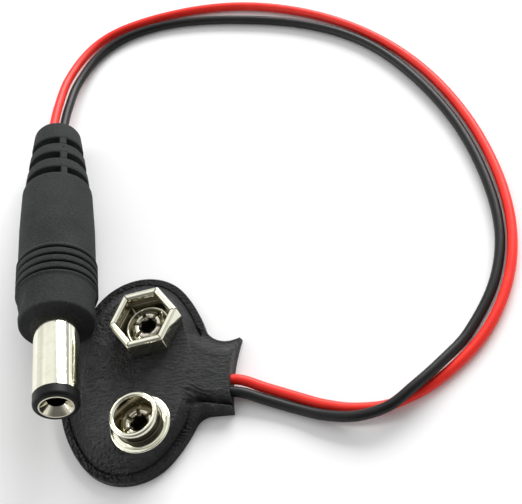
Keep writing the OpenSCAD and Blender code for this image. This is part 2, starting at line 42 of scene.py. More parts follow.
# Sizes shared with the CAD part, in millimetres: head
TERMINAL_Y = 6.35
SHEET_T = 0.5
RIM_TOP = 1.0
COVER_TOP = 3.15
RIM_W = 1.05
WELD_W = 0.2
WELD_DEPTH = 0.14
TAB_WAIST = 9.3
TAB_SCOOP_R = 3.1
TAB_LOW_R = 2.0
TAB_HOLLOW_R = 25.0
TAB_SLANT = math.radians(3.1)
TAB_MID = 10.05
PLATE_Z = 1.85

# Sizes shared with the CAD part: terminals
CONTACT_T = 0.3
HOLE_R = 1.23
SOCKET_APOTHEM = 3.75
SOCKET_H = 2.8
SOCKET_ROLL_R = 0.45
SOCKET_CURL = 0.35
SOCKET_TURN = math.radians(8.5)
SOCKET_SIDES = 6
SLIT_W = 0.15
SLIT_FROM = 0.8
STUD_HEAD_R = 2.85
STUD_BEAD_R = 0.32
STUD_H = 2.85
STUD_FOOT_R = 3.6
STUD_STEP_R = 3.2
STUD_STEP_H = 0.25
EYELET_R = 1.2
EYELET_WALL = 0.25
EYELET_HEAD_R = 1.9
EYELET_HEAD_T = 0.25
PETAL_R = 1.95
PETAL_T = 0.2
PETAL_RISE = 0.25
PETAL_COUNT = 6
PETAL_GAP = 0.45

# Sizes shared with the CAD part: plug, measured back from the front face of its grip
GRIP_LEN = 34.0
TAIL_R = 3.2
TAIL_ROUND = 1.0
GROOVE_COUNT = 4
GROOVE_PITCH = 1.2
GROOVE_FROM = 5.0
FACE_R = 4.56
FACE_ROUND = 0.35
BARREL_R = 2.75
BARREL_SEAT_R = 2.98
THUMB_DEPTH = 0.35
THUMB_R = 3.0
THUMB_FROM = 2.5
SLOT_ROWS = 3
SLOT_PITCH = 3.25
SLOT_W = 1.3
SLOT_FROM = 22.95
WEB_W = 1.0
CORE_R = 2.3
PLUG_AT = (-10.3, 5.6, 6.8237)
PLUG_HEADING = -80.2
PLUG_TILT = 6.0
PLUG_ROLL = 56.0

# Sizes shared with the CAD part: leads
LEAD_D = 1.25
LEAD_Z = 1.175
RELIEF_PITCH = 1.4
RELIEF_Z = -24
CHAMBER_Z = -13.3
POCKET_X = 6.75
MOUTH_Y = -1.5
MOUTH_PITCH = 1.6
SNAP_TAIL = 3.2
TAIL_TURN = math.radians(35)

# Camera: place in millimetres, picture axes, and focal length in pixels of a picture this wide
PICTURE_W = 522
CAMERA_AT = (41.055, -59.483, 110.123)
CAMERA_RIGHT = (0.97184, 0.02036, -0.23477)
CAMERA_UP = (0.11551, 0.82722, 0.54988)
FOCAL_PIXELS = 1090.3
SENSOR_W = 36.0
CLIP_NEAR = 0.005
CLIP_FAR = 10.0

# Lights: places and sizes in metres, directions into the sky, and levels
PANEL_AT = (0.21, 0.59, 0.34)
PANEL_AIM = (0.01, 0.02, 0)
PANEL_SIZE = (0.6, 0.30)
PANEL_POWER = 6.4
STRIP_AT = (-0.6, -0.12, 0.10)
STRIP_AIM = (-0.01, 0.01, 0.005)
STRIP_SIZE = (0.5, 0.12)
STRIP_POWER = 1.2
SKY_FRONT = (0.25, -0.65, 0.72)
SKY_OVERHEAD = (-0.31, 0.45, 0.84)
SKY_LOW_LEVEL = 0.43
SKY_HIGH_LEVEL = 0.62
SKY_FRONT_SHARE = 0.34
SKY_RIGHT_SHARE = 1.7
SKY_LEFT_SHARE = 2.2
SKY_OVERHEAD_LEVEL = 0.45
FLOOR_HALF = 3.0
FLOOR_Z = -0.00002
FLOOR_GLOW_NEAR = 0.03
FLOOR_GLOW_FAR = 0.6


def plug_matrix():
    """Turns the plug's own frame, in millimetres, into the row frame in millimetres."""
    turn = Matrix.Rotation(math.radians(PLUG_HEADING), 4, "Z")
    turn = turn @ Matrix.Rotation(math.radians(90 - PLUG_TILT), 4, "Y")
    turn = turn @ Matrix.Rotation(math.radians(PLUG_ROLL), 4, "Z")
    return Matrix.Translation(PLUG_AT) @ turn


PLUG = plug_matrix()
PLUG_AXIS = PLUG.to_3x3() @ Vector((0, 0, 1))

# Side of the plug's own Y axis whose web faces up
WEB_SIDE = 1 if (PLUG.to_3x3() @ Vector((0, 1, 0))).z > 0 else -1


# Shader arithmetic
class Field:
    """One output of a shader node, with arithmetic on it."""

    def __init__(self, tree, output=None):
        self.tree = tree
        self.output = output

    def node(self, kind, settings=None, values=None, output=0):
        made = self.tree.nodes.new(kind)
        for key, value in (settings or {}).items():
            setattr(made, key, value)
        for key, value in (values or {}).items():
            if isinstance(value, Field):
                self.tree.links.new(value.output, made.inputs[key])
            else:
                made.inputs[key].default_value = value
        return Field(self.tree, made.outputs[output])

    def math(self, operation, *terms, clamp=False):
        settings = {"operation": operation, "use_clamp": clamp}
        return self.node("ShaderNodeMath", settings, dict(enumerate(terms)))

    def __add__(self, other):
        return self.math("ADD", self, other)

    def __radd__(self, other):
        return self.math("ADD", other, self)

    def __sub__(self, other):
        return self.math("SUBTRACT", self, other)

    def __rsub__(self, other):
        return self.math("SUBTRACT", other, self)

    def __mul__(self, other):
        return self.math("MULTIPLY", self, other)

    def __rmul__(self, other):
        return self.math("MULTIPLY", other, self)

    def __abs__(self):
        return self.math("ABSOLUTE", self)

    def power(self, exponent):
        return self.math("POWER", self, exponent)

    def clamped(self):
        return self.math("ADD", self, 0.0, clamp=True)

    def step(self, low, high, start=0.0, end=1.0):
        """Goes smoothly from start to end between the values low and high."""
        settings = {"interpolation_type": "SMOOTHSTEP"}
        return self.node("ShaderNodeMapRange", settings, {0: self, 1: low, 2: high, 3: start, 4: end})

    def part(self, name):
        """One component of a vector."""
        return self.node("ShaderNodeSeparateXYZ", None, {0: self}, name)

    def along(self, direction):
        """Dot product of a vector with a fixed direction."""
        values = {0: self, 1: direction}
        return self.node("ShaderNodeVectorMath", {"operation": "DOT_PRODUCT"}, values, "Value")


class Surface:
    """A material with a principled shader, its place in millimetres and helpers for patterns."""

    def __init__(self, name):
        self.material = bpy.data.materials.new(name)
        self.material.use_nodes = True
        tree = self.material.node_tree
        tree.nodes.clear()
        self.root = Field(tree)
        out = tree.nodes.new("ShaderNodeOutputMaterial")
        self.shader = tree.nodes.new("ShaderNodeBsdfPrincipled")
        tree.links.new(self.shader.outputs[0], out.inputs["Surface"])
        values = {0: self.root.node("ShaderNodeTexCoord", output="Object"), 3: 1 / MM}
        self.place = self.root.node("ShaderNodeVectorMath", {"operation": "SCALE"}, values)

    def axis(self, name):
        return self.place.part(name)

    def from_axis(self, y=0.0):
        """Distance from the upright axis through a place on the Y axis."""
        across = self.axis("X")
        aside = self.axis("Y") - y
        return (across * across + aside * aside).power(0.5)

    def stretched(self, factors):
        values = {0: self.place, 1: factors}
        return self.root.node("ShaderNodeVectorMath", {"operation": "MULTIPLY"}, values)

    def noise(self, scale, detail=3.0, rough=0.5, place=None):
        values = {"Vector": place or self.place, "Scale": scale, "Detail": detail, "Roughness": rough}
        return self.root.node("ShaderNodeTexNoise", {"noise_dimensions": "3D"}, values)

    def cells(self, scale):
        values = {"Vector": self.place, "Scale": scale}
        return self.root.node("ShaderNodeTexVoronoi", {"feature": "SMOOTH_F1"}, values)

    def mixed(self, factor, first, second):
        values = {0: factor, 6: first, 7: second}
        return self.root.node("ShaderNodeMix", {"data_type": "RGBA"}, values, 2)

    def bump(self, height, strength, distance):
        values = {"Height": height, "Strength": strength, "Distance": distance}
        return self.root.node("ShaderNodeBump", None, values)

    def set(self, **values):
        """Sets or links inputs of the shader, with underscores for the spaces in their names."""
        for key, value in values.items():
            socket = self.shader.inputs[key.replace("_", " ")]
            if isinstance(value, Field):
                self.root.tree.links.new(value.output, socket)
            else:
                socket.default_value = value
        return self.material


def colour(red, green, blue):
    """Linear colour from the eight-bit values of a picture."""
    def linear(v):
        v /= 255
        return v / 12.92 if v <= 0.04045 else ((v + 0.055) / 1.055) ** 2.4
    return (linear(red), linear(green), linear(blue), 1.0)


# Materials
def leatherette():
    """Grained black sheet, coarser on the side away from the tab and darker down at the rim."""
    s = Surface("leatherette")
    dark = (0.0200, 0.0203, 0.0210, 1)
    light = (0.0500, 0.0505, 0.0516, 1)
    rim = (0.0070, 0.0071, 0.0074, 1)
    broad = s.noise(scale=0.35, detail=2.0)
    pores = s.cells(scale=3.2)
    wrinkles = s.noise(scale=2.2, detail=4.0, rough=0.65, place=s.stretched((0.55, 1.6, 1.0)))
    fine = s.noise(scale=7.0, rough=0.6)
    coarse_side = s.axis("X").step(3.0, -6.0)
    pore_depth = 0.35 + 1.15 * coarse_side
    height = pores * pore_depth + wrinkles * 1.4 + fine * 0.4
    # The tone follows the wrinkles in part, as painted shade in their creases, and varies at random in
    # part
    tone = (broad * 0.3 + fine * 0.2 + wrinkles * 0.5).step(0.36, 0.64)
    low_down = s.axis("Z").step(1.4, 1.03)
    return s.set(
        Base_Color=s.mixed(low_down, s.mixed(tone, dark, light), rim),
        Roughness=0.34 + 0.10 * fine - 0.06 * coarse_side,
        Specular_IOR_Level=0.24,
        Normal=s.bump(height, strength=1.0, distance=0.00034))


def nickel(name, first, second, rough):
    """Bright plating, slightly uneven."""
    s = Surface(name)
    cloud = s.noise(scale=0.8)
    fine = s.noise(scale=14.0, rough=0.6)
    uneven = s.noise(scale=1.2, detail=2.0)
    return s.set(
        Base_Color=s.mixed(cloud.step(0.35, 0.7), first, second),
        Metallic=1.0,
        Roughness=rough + 0.06 * fine,
        Normal=s.bump(uneven, strength=0.03, distance=0.00010))


def cup_nickel_painted_shade(name, axis_y, neck_r, painted_deep_shade):
    """Darker copy of the plating for a cup's inside faces, with painted shade that grows with depth, and
    painted shade outside the neck's radius.
    """
    s = Surface(name)
    # Colour of the painted shade on the stud's neck
    painted_neck_shade = (0.085, 0.077, 0.054, 1)
    fine = s.noise(scale=9.0, rough=0.6)
    uneven = s.noise(scale=1.6, detail=2.0)
    # Painted shade that grows with depth down in the cup
    painted_depth_shade = s.axis("Z").step(COVER_TOP + 2.4, COVER_TOP + 1.0)
    neck = s.from_axis(axis_y).step(neck_r - 0.1, neck_r)
    # The plating here is a darker copy, as painted shade, mottled at random
    plating = s.mixed(fine.step(0.3, 0.7), (0.50, 0.47, 0.36, 1), (0.42, 0.39, 0.29, 1))
    hollow = s.mixed(painted_depth_shade, plating, painted_deep_shade)
    return s.set(
        Base_Color=s.mixed(neck, hollow, painted_neck_shade),
        Metallic=1.0,
        Roughness=0.13 + 0.06 * fine,
        Normal=s.bump(uneven, strength=0.08, distance=0.00010))


def eyelet_nickel():
    """Duller plating with painted shade down inside the rivet."""
    s = Surface("eyelet_nickel")
    # Colour of the painted shade down in the rivet's hole
    painted_deep_shade = (0.14, 0.126, 0.096, 1)
    fine = s.noise(scale=9.0, rough=0.6)
    lit = s.axis("Z").step(COVER_TOP + 0.1, COVER_TOP + CONTACT_T + 0.3)
    plating = s.mixed(fine.step(0.3, 0.7), (0.70, 0.67, 0.58, 1), (0.62, 0.58, 0.49, 1))
    return s.set(
        Base_Color=s.mixed(lit, painted_deep_shade, plating),
        Metallic=1.0,
        Roughness=0.42 - 0.26 * lit + 0.06 * fine,
        Normal=s.bump(fine, strength=0.05, distance=0.00005))


def insulation(name, dark, light, rough, shine):
    """Smooth plastic of a lead."""
    s = Surface(name)
    cloud = s.noise(scale=0.35, detail=2.0)
    fine = s.noise(scale=6.0, rough=0.6)
    return s.set(
        Base_Color=s.mixed(cloud.step(0.3, 0.7), dark, light),
        Roughness=rough + 0.12 * fine,
        Specular_IOR_Level=shine,
        Normal=s.bump(fine, strength=0.10, distance=0.00005))


def grip_plastic():
    """Matt moulded plastic, with painted shade down in the grip grooves."""
    s = Surface("grip")
    dark = (0.0235, 0.0250, 0.0250, 1)
    light = (0.0430, 0.0448, 0.0448, 1)
    # Colour of the painted shade down in the grooves
    painted_groove_shade = (0.0050, 0.0053, 0.0053, 1)
    cloud = s.noise(scale=0.25, detail=2.0)
    fine = s.noise(scale=4.2, detail=4.0, rough=0.7)
    tone = (cloud * 0.3 + fine * 0.7).step(0.34, 0.66)
    from_face = s.place.along(tuple(PLUG_AXIS)) - PLUG.translation.dot(PLUG_AXIS)
    # Painted shade: the base colour goes dark along each groove
    clear = 1.0
    for k in range(GROOVE_COUNT):
        off_groove = abs(from_face + (GROOVE_FROM + k * GROOVE_PITCH))
        clear = off_groove.step(0.08, 0.20) * clear
    return s.set(
        Base_Color=s.mixed(clear, painted_groove_shade, s.mixed(tone, dark, light)),
        Roughness=0.58 + 0.14 * fine,
        Specular_IOR_Level=0.05,
        Normal=s.bump(fine, strength=0.6, distance=0.00016))


def nose_plastic():
    """Satin black plastic of the collar at the plug's tip."""
    s = Surface("nose")
    dark = (0.0045, 0.0045, 0.0048, 1)
    light = (0.0075, 0.0075, 0.0078, 1)
    fine = s.noise(scale=8.0)
    return s.set(
        Base_Color=s.mixed(fine.step(0.3, 0.7), dark, light),
        Roughness=0.36 + 0.15 * fine,
        Specular_IOR_Level=0.16,
        Normal=s.bump(fine, strength=0.08, distance=0.00005))


def hidden_material(name, dark, light, metal, rough):
    """Plain material of a piece inside the head or the plug."""
    s = Surface(name)
    cloud = s.noise(scale=2.0, detail=4.0)
    return s.set(
        Base_Color=s.mixed(cloud.step(0.3, 0.7), dark, light),
        Metallic=metal,
        Roughness=rough + 0.2 * cloud,
        Normal=s.bump(cloud, strength=0.15, distance=0.0001))


# Mesh pieces
class Shape:
    """Points in millimetres and the faces between them."""

    def __init__(self):
        self.points = []
        self.faces = []
        self.inner = []

    def loft(self, loops, ring=False, inner=()):
        """Skins closed loops of points one after another, as a ring or with both ends capped.

        Faces that start at the loop places in inner take the piece's second material.
        """
        count = len(loops[0])
        first = len(self.points)
        for loop in loops:
            self.points += [tuple(p) for p in loop]
        for i in range(len(loops) if ring else len(loops) - 1):
            a = first + i * count
            b = first + (i + 1) % len(loops) * count
            for k in range(count):
                m = (k + 1) % count
                if k in inner:
                    self.inner.append(len(self.faces))
                self.faces.append((a + k, b + k, b + m, a + m))
        if not ring:
            last = first + (len(loops) - 1) * count
            self.faces.append(tuple(first + k for k in range(count)))
            self.faces.append(tuple(last + k for k in reversed(range(count))))

    def turned(self, section, count, inner=()):
        """Turns a closed section of radius and height about the upright axis."""
        turns = [2 * math.pi * i / count for i in range(count)]
        loops = [[(r * math.cos(t), r * math.sin(t), z) for r, z in section] for t in turns]
        self.loft(loops, True, inner)

    def moved(self, offset, turn=0.0):
        place = Matrix.Translation(offset) @ Matrix.Rotation(turn, 4, "Z")
        self.points = [tuple(place @ Vector(p)) for p in self.points]

    def piece(self, name, material, node, crease=38.0, inside=None):
        """Makes a Blender object that stands for a CAD node, with edges sharp above the crease angle."""
        data = bpy.data.meshes.new(name)
        data.from_pydata((np.array(self.points) * MM).tolist(), [], self.faces)
        mesh = bmesh.new()
        mesh.from_mesh(data)
        bmesh.ops.recalc_face_normals(mesh, faces=mesh.faces)
        mesh.to_mesh(data)
        mesh.free()
        data.shade_smooth()
        data.set_sharp_from_angle(angle=math.radians(crease))
        data.materials.append(material)
        if inside:
            data.materials.append(inside)
            for face in self.inner:
                data.polygons[face].material_index = 1
        made = bpy.data.objects.new(name, data)
        bpy.context.scene.collection.objects.link(made)
        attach(made, "root")
        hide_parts(node)
        return made


def arc(centre, radius, start, end, steps):
    """Points of an arc in a section, with angles in degrees."""
    turns = np.radians(np.linspace(start, end, steps + 1))
    return [(centre[0] + radius * math.cos(t), centre[1] + radius * math.sin(t)) for t in turns]


def smooth(low, high, value):
    """Goes smoothly from 0 to 1 between the values low and high."""
    t = np.clip((value - low) / (high - low), 0, 1)
    return t * t * (3 - 2 * t)


def bell(value, width):
    """Goes smoothly from 1 at nought down to 0 well beyond the width."""
    return np.exp(-(value / width) ** 2)


def wander(x, y, pitch, seed):
    """Gentle unevenness between about -1 and 1, with waves of about the given length."""
    random = np.random.default_rng(seed)
    total = np.zeros_like(x)
    for turn, phase, stretch in random.uniform(0, 1, (8, 3)):
        angle = 2 * math.pi * turn
        wave = pitch * (0.6 + stretch)
        total += np.sin(2 * math.pi * ((x * math.cos(angle) + y * math.sin(angle)) / wave + phase))
    return total / 4


# Outline of the head
class Oval:
    """Oval of four arcs."""

    def __init__(self, length, width, end_r, centre):
        self.centre = centre
        self.end_r = end_r
        self.end_y = length / 2 - end_r
        self.side_r = (end_r ** 2 - self.end_y ** 2 - width ** 2 / 4) / (2 * end_r - width)
        self.side_x = self.side_r - width / 2

    def outside(self, x, y):
        """Distance outside the oval, negative inside it."""
        u = np.abs(x - self.centre[0])
        v = np.abs(y - self.centre[1])
        end = np.hypot(u, v - self.end_y) - self.end_r
        side = np.hypot(u + self.side_x, v) - self.side_r
        return np.where(v * self.side_x > self.end_y * (u + self.side_x), end, side)


COVER = Oval(length=27.3, width=18.8, end_r=7.05, centre=(-2.15, 1.2))
PLATE = Oval(length=21.2, width=12.8, end_r=5.6, centre=(-1.35, 0.6))


def scoop_radius(side):
    """Radius of the hollow beside the tab: side is 1 for the upper one and -1 for the lower one."""
    return TAB_SCOOP_R if side > 0 else TAB_LOW_R


def scoop_centre(side):
    y = side * (TAB_WAIST / 2 + scoop_radius(side))
    reach = math.sqrt((COVER.side_r + scoop_radius(side)) ** 2 - (y - COVER.centre[1]) ** 2)
    return reach - COVER.side_x + COVER.centre[0], y


def scoop_root(side):
    """Place along Y where a scoop meets the oval."""
    share = COVER.side_r / (COVER.side_r + scoop_radius(side))
    return COVER.centre[1] + (scoop_centre(side)[1] - COVER.centre[1]) * share


def beside_scoop(x, y, side):
    """Distance inside one side edge of the tab, which runs straight on beyond the lower scoop."""
    cx, cy = scoop_centre(side)
    inset = np.hypot(x - cx, y - cy) - scoop_radius(side)
    return inset if side > 0 else np.where(x > cx, y + TAB_WAIST / 2, inset)


def tab_inset(x, y):
    """Distance inside the free edges of the tab, negative outside them."""
    inset = np.minimum(beside_scoop(x, y, -1), beside_scoop(x, y, 1))
    hollow_x = TAB_MID + TAB_HOLLOW_R * math.cos(TAB_SLANT)
    hollow_y = -TAB_HOLLOW_R * math.sin(TAB_SLANT)
    inset = np.minimum(inset, np.hypot(x - hollow_x, y - hollow_y) - TAB_HOLLOW_R)
    beside = np.minimum(np.minimum(scoop_root(1) - y, y - scoop_root(-1)), x)
    return np.where(beside < 0, beside, inset)


def sheet_inset(x, y):
    """Distance inside the edge of the whole sheet, negative outside it."""
    return np.maximum(-COVER.outside(x, y), tab_inset(x, y))


# Soft forms of the upper sheet, in millimetres; a pair tells where a form fades in or out
DOME_POWER = 1.12
HUMP_BELOW_TOP = 0.15
HUMP_FALL = 0.6
HUMP_FALL_FROM = 3.5
HUMP_EDGES = (-0.3, 2.6)
HUMP_X = (1.0, 4.0)
HUMP_LOW_Y = (-6.2, -4.2)
HUMP_HIGH_Y = (4.6, 6.6)
BLEND_REACH = 0.6
BLEND_RISE = 0.15
WELD_STOP_X = (4.2, 5.2)
WELD_STOP_LOW_Y = (-4.4, -3.6)
WELD_STOP_HIGH_Y = (6.2, 7.0)
WELD_RIDGE_H = 0.05
ROLL_X = (4.6, 6.6)
ROLL_W = 1.3
ROLL_W_AT = 7.6
ROLL_TAPER = 0.2
ROLL_H = 0.45
ROLL_CREASE = 0.80
CRUMPLE = 0.45
CRUMPLE_PITCH = 1.5
CRUMPLE_SEED = 3
NICK_AT = (5.72, 6.1)
NICK_TURN = (0.40, 0.92)
NICK_HALF_LEN = 0.65
NICK_DEPTH = 0.4
NICK_LIP_H = 0.14
SAG = 0.03
SAG_PITCH = 6.0
SAG_SEED = 1
SAG_EDGE = (0.2, 2.5)
EDGE_ROUND = 0.16
SKIN_LOW = 0.75

# Grid of the upper sheet: rays about a point near the tab, with rings crowded towards the edge
SKIN_RAYS = 430
SKIN_RINGS = 110
SKIN_MIDDLE = (3.0, 0.4)
SKIN_REACH = 20.0
SKIN_HALVINGS = 30
SKIN_FIRST_RING = 0.004
SKIN_CROWDING = 0.65
SEAM_Z = SHEET_T + 0.01
SKIN_HOLE_R = HOLE_R + 0.15

# Patches of fine parallel folds: middle, half length, half width, turn in degrees, pitch and depth
FOLDS = [
    ((1.1, 1.0), 2.6, 0.6, -4, 0.45, 0.0675),
    ((-0.9, -0.8), 2.8, 0.5, -18, 0.42, 0.060),
    ((-2.6, -1.7), 2.5, 0.5, -5, 0.40, 0.060),
    ((6.0, -2.5), 2.0, 0.8, -22, 0.50, 0.105),
    ((4.3, -7.0), 1.0, 1.7, -17, 0.46, 0.1125),
    ((-5.5, 2.5), 0.9, 4.5, 12, 0.55, 0.045)]
FOLD_STRAY = 0.45
FOLD_STRAY_PITCH = 2.2
FOLD_SEED = 20


def fine_folds(x, y):
    total = np.zeros_like(x)
    for i, (middle, length, width, turn, pitch, depth) in enumerate(FOLDS):
        c = math.cos(math.radians(turn))
        s = math.sin(math.radians(turn))
        u = (x - middle[0]) * c + (y - middle[1]) * s
        v = (y - middle[1]) * c - (x - middle[0]) * s
        stray = FOLD_STRAY * wander(x, y, FOLD_STRAY_PITCH, FOLD_SEED + i)
        waves = np.sin(2 * math.pi * (v / pitch + stray))
        total += depth * bell(u, length) * bell(v, width) * waves
    return total


def tab_hump(x, y):
    """Rise of the sheet above the rim over the leads, from the pocket to the mouth of the tab."""
    from_edges = np.minimum(beside_scoop(x, y, 1), beside_scoop(x, y, -1))
    between = (1 - smooth(*HUMP_HIGH_Y, y)) * smooth(*HUMP_LOW_Y, y) * smooth(*HUMP_X, x)
    fall = HUMP_FALL * smooth(HUMP_FALL_FROM, TAB_MID, x)
    return (COVER_TOP - HUMP_BELOW_TOP - fall - RIM_TOP) * smooth(*HUMP_EDGES, from_edges) * between


def weld_line(x, y):
    """Pressed line round the rim with a low ridge inside it, except across the tab."""
    across_tab = smooth(*WELD_STOP_X, x) * (1 - smooth(*WELD_STOP_HIGH_Y, y)) * smooth(*WELD_STOP_LOW_Y, y)
    from_weld = -COVER.outside(x, y) - RIM_W + WELD_W / 2
    groove = WELD_DEPTH * bell(from_weld, WELD_W * 0.32)
    ridge = WELD_RIDGE_H * bell(from_weld - WELD_W * 0.8, WELD_W * 0.4)
    return (ridge - groove) * (1 - across_tab)


def tab_roll(x, y):
    """Rolled and crumpled edge along the lower side of the tab, with a crease above it."""
    from_edge = beside_scoop(x, y, -1)
    width = ROLL_W - ROLL_TAPER * (x - ROLL_W_AT)
    there = smooth(*ROLL_X, x) * (y < 0)
    crumple = 1 + CRUMPLE * wander(x, y, CRUMPLE_PITCH, CRUMPLE_SEED)
    roll = ROLL_H * bell(from_edge - 0.5 * width, 0.40)
    crease = ROLL_CREASE * bell(from_edge - width, 0.24)
    return there * (roll - crease) * crumple


def neck_nick(x, y):
    """Nick with a raised lip at the upper neck, where the weld line ends."""
    dx = x - NICK_AT[0]
    dy = y - NICK_AT[1]
    u = dx * NICK_TURN[0] - dy * NICK_TURN[1]
    v = dx * NICK_TURN[1] + dy * NICK_TURN[0]
    lip = NICK_LIP_H * bell(v + 0.28, 0.2)
    cut = NICK_DEPTH * bell(v, 0.12)
    return bell(u, NICK_HALF_LEN) * (lip - cut)


def edge_drop(x, y):
    """Drop of the sheet towards its rounded outer edge."""
    edge = np.clip(EDGE_ROUND - sheet_inset(x, y), 0, EDGE_ROUND)
    return EDGE_ROUND - np.sqrt(EDGE_ROUND ** 2 - edge ** 2)


def skin_height(x, y):
    """Height of the sheet's upper side."""
    inset = -COVER.outside(x, y)
    rise = np.clip(inset - RIM_W, 0, None)
    climb = rise / (rise + np.clip(PLATE.outside(x, y), 0, None) + 1e-9)
    dome = RIM_TOP + (COVER_TOP - RIM_TOP) * (1 - (1 - climb) ** DOME_POWER)
    hump = RIM_TOP + tab_hump(x, y)
    near = np.clip(1 - np.abs(dome - hump) / BLEND_REACH, 0, 1)
    height = np.maximum(dome, hump) + BLEND_RISE * near ** 2
    height += weld_line(x, y) + tab_roll(x, y) + neck_nick(x, y) + fine_folds(x, y)
    height -= SAG * (1 + wander(x, y, SAG_PITCH, SAG_SEED)) * smooth(*SAG_EDGE, inset)
    height -= edge_drop(x, y)
    return np.clip(height, SKIN_LOW, COVER_TOP)


def edge_reach(turns):
    """Distance from the grid's middle to the sheet's edge along each ray."""
    inside = np.zeros(SKIN_RAYS)
    outside = np.full(SKIN_RAYS, SKIN_REACH)
    for _ in range(SKIN_HALVINGS):
        half = (inside + outside) / 2
        x = SKIN_MIDDLE[0] + half * np.cos(turns)
        y = SKIN_MIDDLE[1] + half * np.sin(turns)
        within = sheet_inset(x, y) > 0
        inside = np.where(within, half, inside)
        outside = np.where(within, outside, half)
    return inside


def head_skin(material):
    """Upper sheet with its thickness and with holes for the eyelets."""
    turns = np.linspace(0, 2 * math.pi, SKIN_RAYS, endpoint=False)
    reach = edge_reach(turns)
    share = np.linspace(SKIN_FIRST_RING, 1, SKIN_RINGS)
    share = (1 - SKIN_CROWDING) * share + SKIN_CROWDING * (1 - (1 - share) ** 2)
    x = SKIN_MIDDLE[0] + np.outer(share, reach * np.cos(turns))
    y = SKIN_MIDDLE[1] + np.outer(share, reach * np.sin(turns))
    top = skin_height(x, y)
    under = np.maximum(SEAM_Z, top - SHEET_T)
    under[-1] = SEAM_Z
    shape = Shape()
    count = SKIN_RINGS * SKIN_RAYS
    for z in (top, under):
        shape.points += np.stack((x, y, z), -1).reshape(-1, 3).tolist()
    open_edges = {}
    for i in range(SKIN_RINGS - 1):
        for k in range(SKIN_RAYS):
            here = i * SKIN_RAYS
            beyond = here + SKIN_RAYS
            m = (k + 1) % SKIN_RAYS
            quad = (here + k, beyond + k, beyond + m, here + m)
            if min(math.hypot(x[i, k], y[i, k] - s * TERMINAL_Y) for s in (-1, 1)) < SKIN_HOLE_R:
                continue
            shape.faces.append(quad)
            shape.faces.append(tuple(count + q for q in reversed(quad)))
            for edge in zip(quad, quad[1:] + quad[:1]):
                if edge[::-1] in open_edges:
                    del open_edges[edge[::-1]]
                else:
                    open_edges[edge] = True
    for a, b in open_edges:
        shape.faces.append((b, a, count + a, count + b))
    return shape.piece("head_skin", material, "top_cover", crease=50.0)


# Terminals
SOCKET_FOOT_R = 0.35
SOCKET_TOP_R = 0.40
LEAF_T = CONTACT_T * 0.6
SOCKET_FLOOR_T = 0.2
DISH_BEAD = (2.62, 0.24)
DISH_BEAD_R = 0.13
FLOOR_TURNS = 96
STUD_TURNS = 128


def leaf_section():
    """Outer and inner side of a spring leaf, as distance from the axis and height."""
    top_z = SOCKET_H - SOCKET_TOP_R
    lip = SOCKET_APOTHEM - 2 * SOCKET_ROLL_R
    foot = (SOCKET_APOTHEM - SOCKET_FOOT_R, SOCKET_FOOT_R)
    outer_roll = (SOCKET_APOTHEM - SOCKET_TOP_R, top_z)
    inner_roll = (lip + SOCKET_TOP_R, top_z)
    outer = arc(foot, SOCKET_FOOT_R, -90, 0, 5)
    outer += arc(outer_roll, SOCKET_TOP_R, 0, 80, 8)
    outer += arc(inner_roll, SOCKET_TOP_R, 100, 180, 8)
    outer += [(lip, top_z - SOCKET_CURL)]
    inner = [(lip + LEAF_T, top_z - SOCKET_CURL)]
    inner += arc(inner_roll, SOCKET_TOP_R - LEAF_T, 180, 100, 8)
    inner += arc(outer_roll, SOCKET_TOP_R - LEAF_T, 80, 0, 8)
    inner += arc(foot, SOCKET_FOOT_R - LEAF_T, 0, -90, 5)
    return outer, inner


def leaf_end(section, face, end):
    """One end of a leaf on a face of the hexagon, drawn back from the corner above the slit's foot."""
    loop = []
    for out, z in section:
        half = out * math.tan(math.pi / SOCKET_SIDES)
        half -= SLIT_W / 2 * smooth(SLIT_FROM - 0.1, SLIT_FROM, z)
        x = out * math.cos(face) - end * half * math.sin(face)
        y = out * math.sin(face) + end * half * math.cos(face)
        loop.append((x, y, z))
    return loop


def socket_cup(material, inside):
    """Hexagonal socket: a floor with a round dish and six leaves rolled inwards at the top."""
    outer, inner = leaf_section()
    section = outer + inner
    side_turn = 2 * math.pi / SOCKET_SIDES
    shape = Shape()
    for side in range(SOCKET_SIDES):
        face = (side + 0.5) * side_turn
        ends = [leaf_end(section, face, end) for end in (-1, 1)]
        # Inner faces take the second material, a darker copy of the plating with painted shade
        shape.loft(ends, inner=range(len(outer) - 1, len(section) - 1))
    dish = [(DISH_BEAD[0] + DISH_BEAD_R, SOCKET_FLOOR_T)]
    dish += arc(DISH_BEAD, DISH_BEAD_R, 0, 180, 8)
    dish += [(2.4, CONTACT_T), (HOLE_R, CONTACT_T)]
    floor = []
    for turn in np.linspace(0, 2 * math.pi, FLOOR_TURNS, endpoint=False):
        reach = (SOCKET_APOTHEM - SOCKET_FOOT_R) / math.cos(turn % side_turn - side_turn / 2)
        ring = [(HOLE_R, 0.0), (reach, 0.0), (reach, SOCKET_FLOOR_T)] + dish
        floor.append([(out * math.cos(turn), out * math.sin(turn), z) for out, z in ring])
    shape.loft(floor, True, [*range(1, 4), *range(len(dish) - 1, len(floor[0]) - 1)])
    shape.moved((0, TERMINAL_Y, COVER_TOP), SOCKET_TURN)
    return shape.piece("socket_cup", material, "socket_contact", inside=inside)


